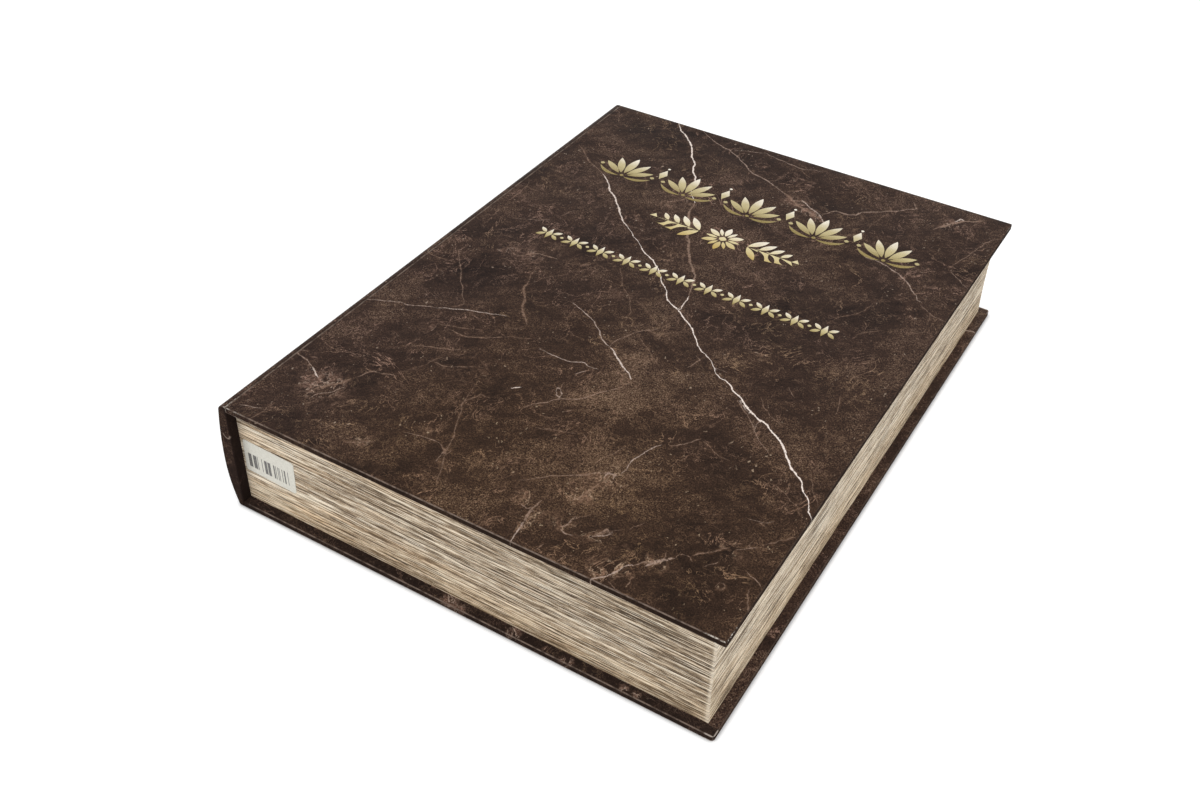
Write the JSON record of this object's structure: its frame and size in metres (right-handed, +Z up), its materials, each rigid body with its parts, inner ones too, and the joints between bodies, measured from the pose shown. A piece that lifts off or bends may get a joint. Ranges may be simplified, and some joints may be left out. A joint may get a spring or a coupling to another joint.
{
  "type": "book-shaped box",
  "caption": "Box in the shape of a large closed book: a page-block tray under a hinged front cover, wrapped in dark brown marble-pattern paper.",
  "frame": {"origin": "middle of the whole closed box, at the surface it lies on", "axes": "+Z up; +X from the spine to the fore-edge; +Y from the tail to the head of the book"},
  "size_m": [0.2576, 0.35, 0.0615],
  "materials": {
    "marble_paper": "matt-laminated print, dark brown marble with pale veins",
    "page_print": "matt print of stacked page edges",
    "greyboard": "uncoated grey board",
    "fibreboard": "raw fibreboard",
    "lining_paper": "matt dark brown lining paper",
    "hinge_cloth": "dark brown book cloth",
    "label_paper": "semi-gloss white sticker with plain bars",
    "gold_foil": "hot-stamped gold foil ornament on the front cover, drawn in the visual model only",
    "catch_steel": "zinc-plated disc",
    "magnet_nickel": "nickel-plated magnet"
  },
  "bodies": {
    "tray": {"spine_former": "fibreboard", "spine_wrap": "marble_paper", "back_board": "greyboard", "back_wrap": "marble_paper", "back_endpaper": "lining_paper", "tray_floor": "fibreboard", "spine_side_wall": "fibreboard", "fore_edge_wall": "fibreboard", "tail_wall": "fibreboard", "head_wall": "fibreboard", "tray_magnets": "magnet_nickel", "page_edge_paper": "page_print", "hinge_strip": "hinge_cloth", "wall_lining": "lining_paper", "floor_lining": "lining_paper", "edge_label": "label_paper"},
    "lid": {"front_board": "greyboard", "front_wrap": "marble_paper", "lid_lining": "lining_paper", "lid_catch_discs": "catch_steel"}
  },
  "joints": [
    {"name": "lid_hinge", "type": "hinge", "parent": "tray", "child": "lid", "pos_m": [-0.1217, 0, 0.0615], "axis": [0, -1, 0], "range_deg": [0, 175]}
  ]
}
